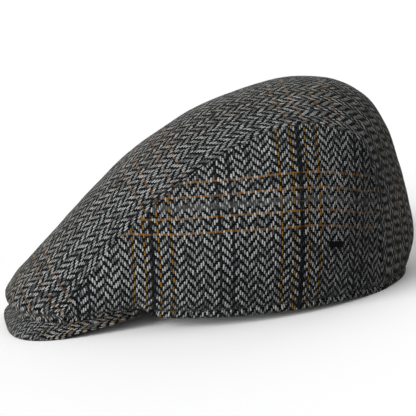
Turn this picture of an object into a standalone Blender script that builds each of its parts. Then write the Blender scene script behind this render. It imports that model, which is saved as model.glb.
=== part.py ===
"""Wool flat cap, built from a top panel, two side panels, a peak and a small side tag.

Metres, +Z up. The peak points to -X and the wearer's left is -Y. The cap rests on z = 0, on the
lip of its peak and the back of its rim, and the origin lies under the middle of its bounding box.
"""

import math

import bmesh
import bpy
import numpy as np
from mathutils import Matrix, Vector

# Head opening, measured on the outside of the hem
HEAD_LENGTH = 0.210
HEAD_WIDTH = 0.170

# Crown
CROWN_HEIGHT = 0.1293
TOP_HALF_WIDTH = 0.0575
BACK_BULGE = 0.0096
REAR_SEAM_ANGLE = math.radians(38.6)
SEAM_CREASE = math.radians(18.0)
SIDE_FLARE = math.radians(17.0)
SIDE_FULLNESS = 0.40
EDGE_BLEND = 0.07

# Cloth
WALL = 0.002
HEM_WALL = 0.003
HEM_DEPTH = 0.009
GAP = 0.0003
SEAM_EASE = 0.0002
SEAM_DROP = 0.04
SEAM_TRIM = GAP + 2 * WALL * math.tan(SEAM_CREASE / 2) + SEAM_EASE

# Peak
PEAK_REACH = 0.0445
PEAK_HALF_WIDTH = 0.0625
PEAK_THICKNESS = 0.004
PEAK_ANGLE = math.radians(47.5)
PEAK_ROUNDNESS = 3.6
PEAK_INNER_HEIGHT = 0.0145
PEAK_LIP_HEIGHT = 0.0034
PEAK_TURN_DOWN = 6.0
PEAK_SIDE_RISE = 0.0092
PEAK_SIDE_START = 0.0225
PEAK_SIDE_CURVE = 1.4

# Rim: the cap leans back on its lip, and its back lies flat on the floor
RIM_SLOPE = math.tan(math.radians(3.2))
RIM_FLAT_SHARE = 0.88
RIM_EASE = 0.012
RIM_PRESS = 0.0018
RIM_PRESS_RUN = 0.010
HEM_STEP_RUN = 0.011

# Side tag, a bare bar
TAG_LENGTH = 0.0102
TAG_HEIGHT = 0.0036
TAG_DEPTH = 0.0010
TAG_STAND_OFF = 2 * GAP
TAG_SEAM_SHARE = 0.657
TAG_RIB_SHARE = 0.348

# Grid
STATIONS = 44
TOP_COLUMNS = 22
SIDE_ROWS = 14
PEAK_COLUMNS = 40
PEAK_ROWS = 7
LIP_STEPS = 3

# Places along X that follow from the sizes above
LENGTH = PEAK_REACH + HEAD_LENGTH + BACK_BULGE
LIP_X = -LENGTH / 2
RIM_X = LIP_X + PEAK_REACH + HEAD_LENGTH / 2
RIM_A = HEAD_LENGTH / 2
RIM_B = HEAD_WIDTH / 2
RIM_FLAT_X = RIM_X + RIM_A * (2 * RIM_FLAT_SHARE - 1)
PEAK_END_X = RIM_X - RIM_A * math.cos(PEAK_ANGLE)

# Stations of the top panel from the peak over the crown to the back of the rim.
# Lengthwise places are shares of LENGTH from the lip, heights are shares of CROWN_HEIGHT,
# seam_y is a share of TOP_HALF_WIDTH, and curl is the power that rounds the section.
STATION_COLUMNS = ("centre_x", "centre_z", "seam_x", "seam_y", "seam_z", "curl")
STATION_TABLE = (
    (0.021, 0.081, 0.125, 0.939, 0.085, 3.40),
    (0.009, 0.135, 0.128, 0.948, 0.100, 3.00),
    (0.034, 0.217, 0.136, 0.957, 0.131, 2.60),
    (0.081, 0.300, 0.153, 0.965, 0.174, 2.30),
    (0.153, 0.427, 0.197, 0.974, 0.286, 2.10),
    (0.229, 0.561, 0.259, 0.983, 0.414, 2.05),
    (0.305, 0.684, 0.324, 0.991, 0.514, 2.05),
    (0.399, 0.803, 0.409, 1.000, 0.634, 2.05),
    (0.494, 0.903, 0.494, 1.000, 0.731, 2.05),
    (0.577, 0.956, 0.574, 1.000, 0.800, 2.10),
    (0.683, 0.992, 0.676, 1.000, 0.855, 2.10),
    (0.774, 1.000, 0.755, 0.995, 0.851, 2.10),
    (0.859, 0.961, 0.822, 0.988, 0.804, 2.10),
    (0.924, 0.866, 0.863, 0.977, 0.723, 2.15),
    (0.962, 0.719, 0.880, 0.970, 0.596, 2.20),
    (0.981, 0.541, 0.885, 0.965, 0.456, 2.25),
    (0.995, 0.356, 0.885, 0.957, 0.317, 2.30),
    (1.000, 0.178, 0.881, 0.943, 0.162, 2.30),
)

# How far along the lower edge of a side panel each rib starts, for its place along the seam,
# and how far it flares there, as a share of SIDE_FLARE
RIB_COLUMNS = ("seam_share", "edge_share", "flare")
RIB_TABLE = (
    (0.00, 0.000, 1.0),
    (0.05, 0.040, 1.9),
    (0.12, 0.100, 2.6),
    (0.20, 0.185, 2.8),
    (0.30, 0.300, 2.1),
    (0.40, 0.420, 1.4),
    (0.55, 0.620, 1.0),
    (0.65, 0.740, 1.0),
    (0.73, 0.830, 1.0),
    (0.80, 0.890, 1.0),
    (0.87, 0.940, 1.0),
    (0.94, 0.975, 1.0),
    (1.00, 1.000, 1.0),
)

COLLECTION = "wool_flat_cap"


def unit(vectors):
    """Scale each vector to length one."""
    size = np.linalg.norm(vectors, axis=-1, keepdims=True)
    return vectors / np.maximum(size, 1e-9)


def smooth(knots, values, places):
    """Read a table at the given places with a cubic curve through its rows."""
    slopes = np.gradient(values, knots, axis=0)
    row = np.clip(np.searchsorted(knots, places, side="right") - 1, 0, len(knots) - 2)
    step = knots[row + 1] - knots[row]
    t = (places - knots[row]) / step
    shape = (-1,) + (1,) * (values.ndim - 1)
    t, step = t.reshape(shape), step.reshape(shape)
    return (
        (2 * t**3 - 3 * t**2 + 1) * values[row]
        + (t**3 - 2 * t**2 + t) * step * slopes[row]
        + (3 * t**2 - 2 * t**3) * values[row + 1]
        + (t**3 - t**2) * step * slopes[row + 1]
    )


def rim_height(x):
    """Height of the hem's lower edge; it dips just below the floor at the back and is pressed flat."""
    run = np.maximum(RIM_FLAT_X - np.asarray(x, float), 0.0)
    return RIM_SLOPE * run**2 / (run + RIM_EASE) - RIM_PRESS * np.exp(-((run / RIM_PRESS_RUN) ** 2))


def peak_outline_y(x):
    """Half width of the peak's outline at x."""
    share = np.clip((PEAK_END_X - np.asarray(x, float)) / (PEAK_END_X - LIP_X), 0.0, 1.0)
    return PEAK_HALF_WIDTH * (1 - share**PEAK_ROUNDNESS) ** (1 / PEAK_ROUNDNESS)


def peak_top(x, y):
    """Height of the peak's upper face at a place in plan."""
    soft = PEAK_THICKNESS / 2
    along = np.clip(PEAK_END_X - x, 0.0, None) / (PEAK_END_X - LIP_X - soft)
    aside = np.abs(y) / (PEAK_HALF_WIDTH - soft)
    reach = (along**PEAK_ROUNDNESS + aside**PEAK_ROUNDNESS) ** (1 / PEAK_ROUNDNESS)
    side = np.clip((x - LIP_X - PEAK_SIDE_START) / (PEAK_END_X - LIP_X - PEAK_SIDE_START), 0.0, 1.0)
    lip = PEAK_LIP_HEIGHT + PEAK_SIDE_RISE * side**PEAK_SIDE_CURVE
    return PEAK_INNER_HEIGHT - (PEAK_INNER_HEIGHT - lip) * np.minimum(reach, 1.0) ** PEAK_TURN_DOWN


def seat_height(x, y):
    """Height at which a cloth wall stands on the peak, clear of it by the gap."""
    inward = unit(np.stack([RIM_X - x, -y], -1)) * HEM_WALL
    return peak_top(x + inward[..., 0], y + inward[..., 1]) + 1.5 * GAP


def station_rows():
    """Turn the table's shares into metres and add the last station, on the rim."""
    rows = np.array(STATION_TABLE)
    scale = np.array([LENGTH, CROWN_HEIGHT, LENGTH, TOP_HALF_WIDTH, CROWN_HEIGHT, 1.0])
    shift = np.array([LIP_X, 0.0, LIP_X, 0.0, 0.0, 0.0])
    foot_x = RIM_X + RIM_A * math.cos(REAR_SEAM_ANGLE)
    foot_y = RIM_B * math.sin(REAR_SEAM_ANGLE)
    back_x = RIM_X + RIM_A
    last = (back_x, rim_height(back_x), foot_x, foot_y, rim_height(foot_x), rows[-1, 5])
    return np.vstack([rows * scale + shift, last])


def station_knots(rows):
    """Place the stations by their run along the centre line and the seam together."""
    centre = np.linalg.norm(np.diff(rows[:, 0:2], axis=0), axis=1)
    seam = np.linalg.norm(np.diff(rows[:, 2:5], axis=0), axis=1)
    knots = np.concatenate([[0.0], np.cumsum(centre + seam)])
    return knots / knots[-1]


ROWS = station_rows()
KNOTS = station_knots(ROWS)


def top_point(s, v):
    """Points of the top panel, s from the peak to the back and v from the left seam to the right."""
    s, v = np.atleast_1d(s), np.atleast_1d(v)
    row = smooth(KNOTS, ROWS, s)
    across = np.abs(v)[None, :] ** row[:, 5:6]
    x = row[:, 0:1] + (row[:, 2:3] - row[:, 0:1]) * across
    y = row[:, 3:4] * v[None, :]
    z = row[:, 1:2] + (row[:, 4:5] - row[:, 1:2]) * across
    start = top_start(v)
    fade = np.clip(1 - s / KNOTS[1], 0.0, 1.0)[:, None] ** 2
    z = z + start[None, :] * fade
    return np.stack([x, y, z], axis=2)


def top_start(v):
    """How far the first station moves up or down to stand on the peak."""
    row = ROWS[0]
    across = np.abs(v) ** row[5]
    x = row[0] + (row[2] - row[0]) * across
    z = row[1] + (row[4] - row[1]) * across
    return seat_height(x, row[3] * v) - z


def seam_point(s):
    """The left seam line."""
    return top_point(s, -1.0)[:, 0]


def lower_edge():
    """Lower edge of the left side panel: along the crease on the peak, then along the rim."""
    corner = seam_point(0.0)[0]
    x = np.linspace(corner[0], PEAK_END_X, 16)
    share = (x - corner[0]) / (PEAK_END_X - corner[0])
    inset_front = peak_outline_y(corner[0]) + corner[1]
    end_y = RIM_B * math.sin(PEAK_ANGLE)
    inset_back = PEAK_HALF_WIDTH - end_y
    y = -(peak_outline_y(x) - inset_front * (1 - share) - inset_back * share)
    crease = np.stack([x, y, seat_height(x, y)], axis=1)
    angle = np.linspace(math.pi - PEAK_ANGLE, REAR_SEAM_ANGLE, 64)[1:]
    x = RIM_X + RIM_A * np.cos(angle)
    y = -RIM_B * np.sin(angle)
    step = np.clip((x - PEAK_END_X - 4 * GAP) / HEM_STEP_RUN, 0.0, 1.0)
    step = step * step * (3 - 2 * step)
    z = rim_height(x) * step + seat_height(x, y) * (1 - step)
    return np.vstack([crease, np.stack([x, y, z], axis=1)])


EDGE = lower_edge()
EDGE_RUN = np.concatenate([[0.0], np.cumsum(np.linalg.norm(np.diff(EDGE, axis=0), axis=1))])
SEAM_S = np.linspace(0.0, 1.0, 400)
SEAM_RUN = np.concatenate([[0.0], np.cumsum(np.linalg.norm(np.diff(seam_point(SEAM_S), axis=0), axis=1))])


def edge_point(share):
    """A place on the lower edge, from the front corner (0) to the rear seam (1)."""
    run = np.clip(share, 0.0, 1.0) * EDGE_RUN[-1]
    return np.stack([np.interp(run, EDGE_RUN, EDGE[:, k]) for k in range(3)], axis=-1)


def seam_share(s):
    """How far along the seam a station lies."""
    return np.interp(s, SEAM_S, SEAM_RUN) / SEAM_RUN[-1]


def across_plane(chord, along, out):
    """Turn a rib's chord into the tangent plane of the surface at one end."""
    normal = unit(np.cross(along, out))
    return unit(chord - normal * np.sum(chord * normal, axis=-1, keepdims=True))


def side_point(s, w):
    """Points of the left side panel, s along the seam and w from the lower edge up to the seam."""
    s, w = np.atleast_1d(s), np.atleast_1d(w)[None, :, None]
    share = seam_share(s)
    table = np.array(RIB_TABLE)
    rib = smooth(table[:, 0], table[:, 1:3], share)
    foot_share, flare = np.clip(rib[:, 0], 0.0, 1.0), (SIDE_FLARE * rib[:, 1])[:, None]
    foot, head = edge_point(foot_share), seam_point(s)
    edge_dir = unit(edge_point(foot_share + EDGE_BLEND) - edge_point(foot_share - EDGE_BLEND))
    step = 1e-3
    seam_dir = unit(seam_point(np.clip(s + step, 0, 1)) - seam_point(np.clip(s - step, 0, 1)))
    out = head - top_point(s, -0.97)[:, 0]
    out = unit(out - seam_dir * np.sum(out * seam_dir, axis=1, keepdims=True))
    up = np.cross(out, seam_dir)
    up = np.where(up[:, 2:3] < 0, -up, up)
    crease = SEAM_CREASE * np.clip(1.25 - share, 0.2, 1.0)[:, None]
    fall = out * np.cos(crease) - up * np.sin(crease)
    vertical = np.array([0.0, 0.0, 1.0])
    sideways = unit(np.cross(edge_dir, vertical))
    sideways = np.where(sideways[:, 1:2] > 0, -sideways, sideways)
    rise = vertical * np.cos(flare) + sideways * np.sin(flare)
    chord = head - foot
    reach = np.linalg.norm(chord, axis=1, keepdims=True) * SIDE_FULLNESS
    first = foot + across_plane(chord, edge_dir, rise) * reach
    second = head - across_plane(chord, seam_dir, fall) * reach
    foot, first, second, head = (p[:, None] for p in (foot, first, second, head))
    return (
        (1 - w) ** 3 * foot + 3 * (1 - w) ** 2 * w * first + 3 * (1 - w) * w**2 * second + w**3 * head
    )


def peak_plan(phi, rho):
    """Plan of the peak, phi from one tip (-1) to the other (1), rho from the head (0) to the lip (1)."""
    inner_x = RIM_X - RIM_A * np.cos(phi * PEAK_ANGLE)
    inner_y = RIM_B * np.sin(phi * PEAK_ANGLE)
    turn = np.abs(phi) * math.pi / 2
    soft = PEAK_THICKNESS / 2
    outer_x = PEAK_END_X - (PEAK_END_X - LIP_X - soft) * np.cos(turn) ** (2 / PEAK_ROUNDNESS)
    outer_y = np.sign(phi) * (PEAK_HALF_WIDTH - soft) * np.sin(turn) ** (2 / PEAK_ROUNDNESS)
    return inner_x + (outer_x - inner_x) * rho, inner_y + (outer_y - inner_y) * rho


def peak_middle(phi, rho):
    """Middle face of the peak's board."""
    x, y = peak_plan(phi, rho)
    return np.stack([x, y, peak_top(x, y) - PEAK_THICKNESS / 2], axis=-1)


def peak_ring(phi):
    """One closed section of the peak: upper face, rounded lip, lower face and inner edge."""
    rho = np.linspace(0.0, 1.0, PEAK_ROWS)
    full = np.full_like(rho, phi)
    middle = peak_middle(full, rho)
    out = unit(np.gradient(middle, axis=0))
    out[:, 2] = np.minimum(out[:, 2], 0.0)
    flat = unit(out * np.array([1.0, 1.0, 0.0]))
    lift = unit(np.stack([-flat[:, 0] * out[:, 2], -flat[:, 1] * out[:, 2],
                          np.linalg.norm(out[:, :2], axis=1)], axis=1))
    half = PEAK_THICKNESS / 2
    turn = np.linspace(math.pi / 2, -math.pi / 2, LIP_STEPS + 2)[1:-1, None]
    lip = middle[-1] + half * (np.cos(turn) * out[-1] + np.sin(turn) * lift[-1])
    return np.vstack([middle + lift * half, lip, (middle - lift * half)[::-1]])


def grid_object(name, point, columns, rows, material):
    """Make a named sheet whose grid corners go to point(i / columns, j / rows)."""
    bm = bmesh.new()
    bmesh.ops.create_grid(bm, x_segments=columns, y_segments=rows, size=0.5)
    for vert in bm.verts:
        vert.co = point(round((vert.co.x + 0.5) * columns), round((vert.co.y + 0.5) * rows))
    bmesh.ops.remove_doubles(bm, verts=bm.verts, dist=1e-5)
    mesh = bpy.data.meshes.new(name)
    bm.to_mesh(mesh)
    bm.free()
    obj = bpy.data.objects.new(name, mesh)
    obj.data.materials.append(material)
    bpy.data.collections[COLLECTION].objects.link(obj)
    return obj


def face_outward(obj, centre):
    """Turn the sheet's faces away from the middle of the crown."""
    bm = bmesh.new()
    bm.from_mesh(obj.data)
    bmesh.ops.recalc_face_normals(bm, faces=bm.faces)
    outward = sum(f.normal.dot(f.calc_center_median() - centre) * f.calc_area() for f in bm.faces)
    if outward < 0:
        bmesh.ops.reverse_faces(bm, faces=bm.faces)
    bm.to_mesh(obj.data)
    bm.free()


def thicken(obj, is_hem):
    """Give a sheet its wall, thicker where the hem is turned up, and press it flat on the floor."""
    face_outward(obj, Vector((RIM_X, 0.0, CROWN_HEIGHT / 3)))
    hem = obj.vertex_groups.new(name="hem")
    for vert in obj.data.vertices:
        hem.add([vert.index], 1.0 if is_hem(vert.co) else WALL / HEM_WALL, "REPLACE")
    solidify = obj.modifiers.new("wall", "SOLIDIFY")
    solidify.thickness = HEM_WALL
    solidify.offset = -1.0
    solidify.vertex_group = hem.name
    solidify.use_even_offset = False
    apply_modifiers(obj)
    press_flat(obj)


def apply_modifiers(obj):
    """Replace an object's mesh with its evaluated mesh."""
    graph = bpy.context.evaluated_depsgraph_get()
    graph.update()
    mesh = bpy.data.meshes.new_from_object(obj.evaluated_get(graph))
    obj.modifiers.clear()
    obj.vertex_groups.clear()
    obj.data = mesh


def press_flat(obj):
    """Move what would lie below the floor up to it."""
    for vert in obj.data.vertices:
        vert.co.z = max(vert.co.z, 0.0)


def material(name, colour, roughness, metallic=0.0):
    """A Principled material."""
    result = bpy.data.materials.new(name)
    result.use_nodes = True
    shader = result.node_tree.nodes["Principled BSDF"]
    shader.inputs["Base Color"].default_value = (*colour, 1.0)
    shader.inputs["Roughness"].default_value = roughness
    shader.inputs["Metallic"].default_value = metallic
    result.diffuse_color = (*colour, 1.0)
    return result


def station_places():
    """Even places along the seam, shared by the panels on both sides of it."""
    even = np.linspace(0.0, SEAM_RUN[-1], STATIONS + 1)
    return np.interp(even, SEAM_RUN, SEAM_S)


def build_top_panel(tweed):
    """The top panel, from the peak over the crown and down the back."""
    places = station_places()
    edge_speed = math.hypot(TOP_HALF_WIDTH, SEAM_DROP)
    side = 1 - SEAM_TRIM / edge_speed
    points = top_point(places, np.linspace(-side, side, TOP_COLUMNS + 1))
    obj = grid_object("top_panel", lambda i, j: points[i, j], STATIONS, TOP_COLUMNS, tweed)
    thicken(obj, lambda co: co.x > RIM_X and co.z < HEM_DEPTH)


def build_side_panel(name, mirror, tweed):
    """A side panel, between the seam and the crease and rim below it."""
    points = side_point(station_places(), np.linspace(0.0, 1.0, SIDE_ROWS + 1))
    points = points * np.array([1.0, mirror, 1.0])
    obj = grid_object(name, lambda i, j: points[i, j], STATIONS, SIDE_ROWS, tweed)
    thicken(obj, lambda co: co.x > PEAK_END_X and co.z < rim_height(co.x) + HEM_DEPTH)


def build_peak(tweed):
    """The peak, a thin board with a rounded lip."""
    rings = [peak_ring(phi) for phi in np.linspace(-1.0, 1.0, PEAK_COLUMNS + 1)]
    count = len(rings[0])
    obj = grid_object("peak", lambda i, j: rings[i][j % count], PEAK_COLUMNS, count, tweed)
    bm = bmesh.new()
    bm.from_mesh(obj.data)
    bmesh.ops.holes_fill(bm, edges=bm.edges, sides=0)
    bmesh.ops.recalc_face_normals(bm, faces=bm.faces)
    bm.to_mesh(obj.data)
    bm.free()
    press_flat(obj)


def build_side_tag(enamel):
    """A small bare bar on the left side panel."""
    share, rib = np.array([TAG_SEAM_SHARE]), TAG_RIB_SHARE
    s = np.interp(share * SEAM_RUN[-1], SEAM_RUN, SEAM_S)
    step = 0.01
    centre = side_point(s, rib)[0, 0]
    along = unit(side_point(s + step, rib)[0, 0] - side_point(s - step, rib)[0, 0])
    along = unit(along * np.array([1.0, 1.0, 0.0]))
    up = unit(side_point(s, rib + step)[0, 0] - side_point(s, rib - step)[0, 0])
    outward = unit(np.cross(along, up))
    up = np.cross(outward, along)
    bpy.ops.mesh.primitive_cube_add(size=1.0)
    tag = bpy.context.object
    tag.name = "side_tag"
    tag.scale = (TAG_LENGTH, TAG_HEIGHT, TAG_DEPTH)
    middle = Vector(centre + outward * (TAG_STAND_OFF + TAG_DEPTH / 2))
    turn = Matrix((Vector(along), Vector(up), Vector(outward))).transposed()
    tag.rotation_euler = turn.to_euler()
    tag.location = middle
    tag.data.materials.append(enamel)
    for owner in tag.users_collection:
        owner.objects.unlink(tag)
    bpy.data.collections[COLLECTION].objects.link(tag)


def main():
    """Build the cap in an empty scene."""
    for obj in list(bpy.data.objects):
        bpy.data.objects.remove(obj)
    collection = bpy.data.collections.new(COLLECTION)
    bpy.context.scene.collection.children.link(collection)
    tweed = material("grey_tweed", (0.17, 0.18, 0.19), 0.95)
    crossing = material("grey_tweed_top", (0.19, 0.20, 0.21), 0.95)
    board = material("grey_tweed_peak", (0.15, 0.16, 0.17), 0.95)
    enamel = material("dark_enamel", (0.02, 0.02, 0.022), 0.45)
    build_top_panel(crossing)
    build_side_panel("side_panel_left", 1.0, tweed)
    build_side_panel("side_panel_right", -1.0, tweed)
    build_peak(board)
    build_side_tag(enamel)


if __name__ == "__main__":
    main()
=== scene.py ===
"""The looks of a wool flat cap: tweed panels, peak, hem stitches and a small bare tag.

Metres, +Z up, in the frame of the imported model. The peak points to -X and the wearer's left is
-Y. Each cloth piece is one closed shell over a smooth surface, and its weave follows a UV map
whose unit is a metre of cloth, across the warp (U) and along it (V).
"""

import logging
import math
from dataclasses import dataclass
from enum import Enum
from functools import cached_property

import bmesh
import bpy
import numpy as np
from mathutils import Matrix, Vector


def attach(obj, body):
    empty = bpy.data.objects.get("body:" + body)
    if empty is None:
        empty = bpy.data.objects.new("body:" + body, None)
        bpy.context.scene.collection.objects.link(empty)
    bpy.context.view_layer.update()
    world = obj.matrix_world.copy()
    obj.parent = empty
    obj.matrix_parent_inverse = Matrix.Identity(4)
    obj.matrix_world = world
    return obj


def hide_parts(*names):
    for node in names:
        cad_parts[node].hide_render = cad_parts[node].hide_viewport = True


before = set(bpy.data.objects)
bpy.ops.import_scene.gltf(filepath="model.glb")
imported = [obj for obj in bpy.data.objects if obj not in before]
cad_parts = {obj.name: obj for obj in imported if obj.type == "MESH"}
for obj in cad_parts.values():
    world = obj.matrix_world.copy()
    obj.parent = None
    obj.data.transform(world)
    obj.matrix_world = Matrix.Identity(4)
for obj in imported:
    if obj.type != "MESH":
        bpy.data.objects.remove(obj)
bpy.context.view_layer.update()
LOG = logging.getLogger("flat_cap")
BODY = "root"
CLOTH_MAP = "cloth"
UP = np.array([0.0, 0.0, 1.0])
WELD = 2e-6
DEGENERATE = 1e-7


class Side(Enum):
    """A side of the cap, with the sign of its Y."""

    LEFT = -1.0
    RIGHT = 1.0


class Slot(Enum):
    """The record's material slots."""

    TOP = "top_tweed"
    SIDE = "side_tweed"
    PEAK = "peak_tweed"
    TAG = "tag_enamel"


def unit(vectors: np.ndarray) -> np.ndarray:
    """Scale each vector to length one.

    Args:
        vectors: An array whose last axis holds the vectors.

    Returns:
        The unit vectors.
    """
    size = np.linalg.norm(vectors, axis=-1, keepdims=True)
    return vectors / np.maximum(size, 1e-9)


def smooth(knots: np.ndarray, values: np.ndarray, places: np.ndarray) -> np.ndarray:
    """Read a table with a cubic curve through its rows.

    Args:
        knots: The place of each row.
        values: The rows.
        places: Where to read.

    Returns:
        One row for each place.
    """
    slopes = np.gradient(values, knots, axis=0)
    row = np.clip(np.searchsorted(knots, places, side="right") - 1, 0, len(knots) - 2)
    step = knots[row + 1] - knots[row]
    t = (places - knots[row]) / step
    shape = (-1,) + (1,) * (values.ndim - 1)
    t, step = t.reshape(shape), step.reshape(shape)
    return (
        (2 * t**3 - 3 * t**2 + 1) * values[row]
        + (t**3 - 2 * t**2 + t) * step * slopes[row]
        + (3 * t**2 - 2 * t**3) * values[row + 1]
        + (t**3 - t**2) * step * slopes[row + 1]
    )


def running_length(points: np.ndarray, axis: int) -> np.ndarray:
    """Length run so far along one axis of a grid of points.

    Args:
        points: A grid of points, with the coordinates last.
        axis: The axis to run along.

    Returns:
        The run at each point, from 0.
    """
    step = np.linalg.norm(np.diff(points, axis=axis), axis=-1)
    run = np.cumsum(step, axis=axis)
    start = np.zeros_like(np.take(run, [0], axis=axis))
    return np.concatenate([start, run], axis=axis)


def read_on(places: np.ndarray, knots: np.ndarray, values: np.ndarray) -> np.ndarray:
    """Read a rising table, and go straight on past its ends.

    Args:
        places: Where to read.
        knots: The place of each row.
        values: The rows.

    Returns:
        One value for each place.
    """
    low = (values[4] - values[0]) / (knots[4] - knots[0])
    high = (values[-1] - values[-5]) / (knots[-1] - knots[-5])
    before = np.minimum(places - knots[0], 0.0) * low
    after = np.maximum(places - knots[-1], 0.0) * high
    return np.interp(places, knots, values) + before + after


def bell(distance: np.ndarray, middle: float, width: float) -> np.ndarray:
    """A smooth bump of height one round a distance."""
    return np.exp(-(((distance - middle) / width) ** 2))


def ease(distance: np.ndarray, start: float, end: float) -> np.ndarray:
    """Rise smoothly from 0 at start to 1 at end."""
    share = np.clip((distance - start) / (end - start), 0.0, 1.0)
    return share * share * (3 - 2 * share)


def ripple(points: np.ndarray, wavelength: float, seed: int, waves: int = 14) -> np.ndarray:
    """Soft unevenness of handled cloth, from a fixed set of waves in space.

    Args:
        points: Where to read it.
        wavelength: The usual length of a wave.
        seed: The fixed seed of the waves' directions.
        waves: How many waves are added.

    Returns:
        A height of about -1 to 1 at each point.
    """
    rng = np.random.default_rng(seed)
    total = np.zeros(points.shape[:-1])
    for _ in range(waves):
        direction = unit(rng.normal(size=3))
        length = wavelength * rng.uniform(0.7, 1.6)
        phase = rng.uniform(0, 2 * math.pi)
        total += np.sin(points @ direction * 2 * math.pi / length + phase)
    return total / math.sqrt(2 * waves)


def packed_places(count: int, low: float, high: float, pull: float) -> np.ndarray:
    """Places from 0 to 1, closer together at the ends.

    Args:
        count: How many steps.
        low: How much closer together they are at 0, from 0 to 1.
        high: How much closer together they are at 1, from 0 to 1.
        pull: The share of the way over which they draw together.

    Returns:
        count + 1 places.
    """
    even = np.linspace(0.0, 1.0, 2001)
    density = 1.0 + 12 * low * np.exp(-even / pull) + 12 * high * np.exp(-(1 - even) / pull)
    run = np.concatenate([[0.0], np.cumsum((density[1:] + density[:-1]) / 2)])
    return np.interp(np.linspace(0, run[-1], count + 1), run, even)


def grid_normals(points: np.ndarray, centre: np.ndarray) -> np.ndarray:
    """Normals of a grid of points, facing away from a centre.

    Args:
        points: A grid of points.
        centre: A point inside.

    Returns:
        A unit normal for each point.
    """
    normal = unit(np.cross(np.gradient(points, axis=0), np.gradient(points, axis=1)))
    outward = np.sum(normal * (points - centre), axis=-1)
    return normal * (1.0 if np.sum(outward) > 0 else -1.0)


def add_object(name: str, data: object) -> bpy.types.Object:
    """Make an object and put it into the scene.

    Args:
        name: The object's name.
        data: Its mesh, light or camera.

    Returns:
        The object.
    """
    obj = bpy.data.objects.new(name, data)
    bpy.context.scene.collection.objects.link(obj)
    return obj


def smooth_faces(mesh: bpy.types.Mesh) -> None:
    """Shade every face of a mesh smoothly."""
    mesh.polygons.foreach_set("use_smooth", [True] * len(mesh.polygons))


def cloth_object(
    name: str, points: np.ndarray, corners: np.ndarray, cloth: np.ndarray, fill: bool = False
) -> bpy.types.Object:
    """Make a closed, smooth piece that carries its cloth coordinates.

    Args:
        name: The piece's name.
        points: Its points.
        corners: The four points of each face.
        cloth: The cloth coordinates of each point.
        fill: Whether open ends are filled.

    Returns:
        The new object.
    """
    mesh = bpy.data.meshes.new(name)
    mesh.from_pydata(points.tolist(), [], corners.tolist())
    layer = mesh.uv_layers.new(name=CLOTH_MAP)
    layer.data.foreach_set("uv", cloth[corners.ravel()].astype(np.float32).ravel())
    bm = bmesh.new()
    bm.from_mesh(mesh)
    bmesh.ops.remove_doubles(bm, verts=bm.verts, dist=WELD)
    bmesh.ops.dissolve_degenerate(bm, edges=bm.edges, dist=DEGENERATE)
    if fill:
        bmesh.ops.holes_fill(bm, edges=bm.edges, sides=0)
    bmesh.ops.recalc_face_normals(bm, faces=bm.faces)
    bm.to_mesh(mesh)
    bm.free()
    smooth_faces(mesh)
    return add_object(name, mesh)


def shell_object(name: str, outer: np.ndarray, inner: np.ndarray, cloth: np.ndarray) -> bpy.types.Object:
    """Make one closed cloth shell from an outer and an inner grid.

    Args:
        name: The piece's name.
        outer: The outer face's grid of points.
        inner: The inner face's grid of points, of the same shape.
        cloth: The cloth coordinates of the grid.

    Returns:
        The new object.
    """
    rows, columns = outer.shape[:2]
    count = rows * columns
    index = np.arange(count).reshape(rows, columns)
    quads = np.stack([index[:-1, :-1], index[1:, :-1], index[1:, 1:], index[:-1, 1:]], axis=-1)
    quads = quads.reshape(-1, 4)
    rim = np.concatenate([index[:, 0], index[-1, 1:], index[-2::-1, -1], index[0, -2::-1]])
    strip = np.stack([rim[:-1], rim[1:], rim[1:] + count, rim[:-1] + count], -1)
    corners = np.vstack([quads, quads[:, ::-1] + count, strip[:, ::-1]])
    points = np.concatenate([outer.reshape(-1, 3), inner.reshape(-1, 3)])
    return cloth_object(name, points, corners, np.tile(cloth.reshape(-1, 2), (2, 1)))


def settle(obj: bpy.types.Object, slot: Slot, *nodes: str) -> bpy.types.Object:
    """Let a piece ride on the cap and stand for its CAD nodes.

    Args:
        obj: The piece.
        slot: Not used.
        nodes: The CAD nodes that it replaces.

    Returns:
        The same piece.
    """
    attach(obj, BODY)
    if nodes:
        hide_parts(*nodes)
    return obj


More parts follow.
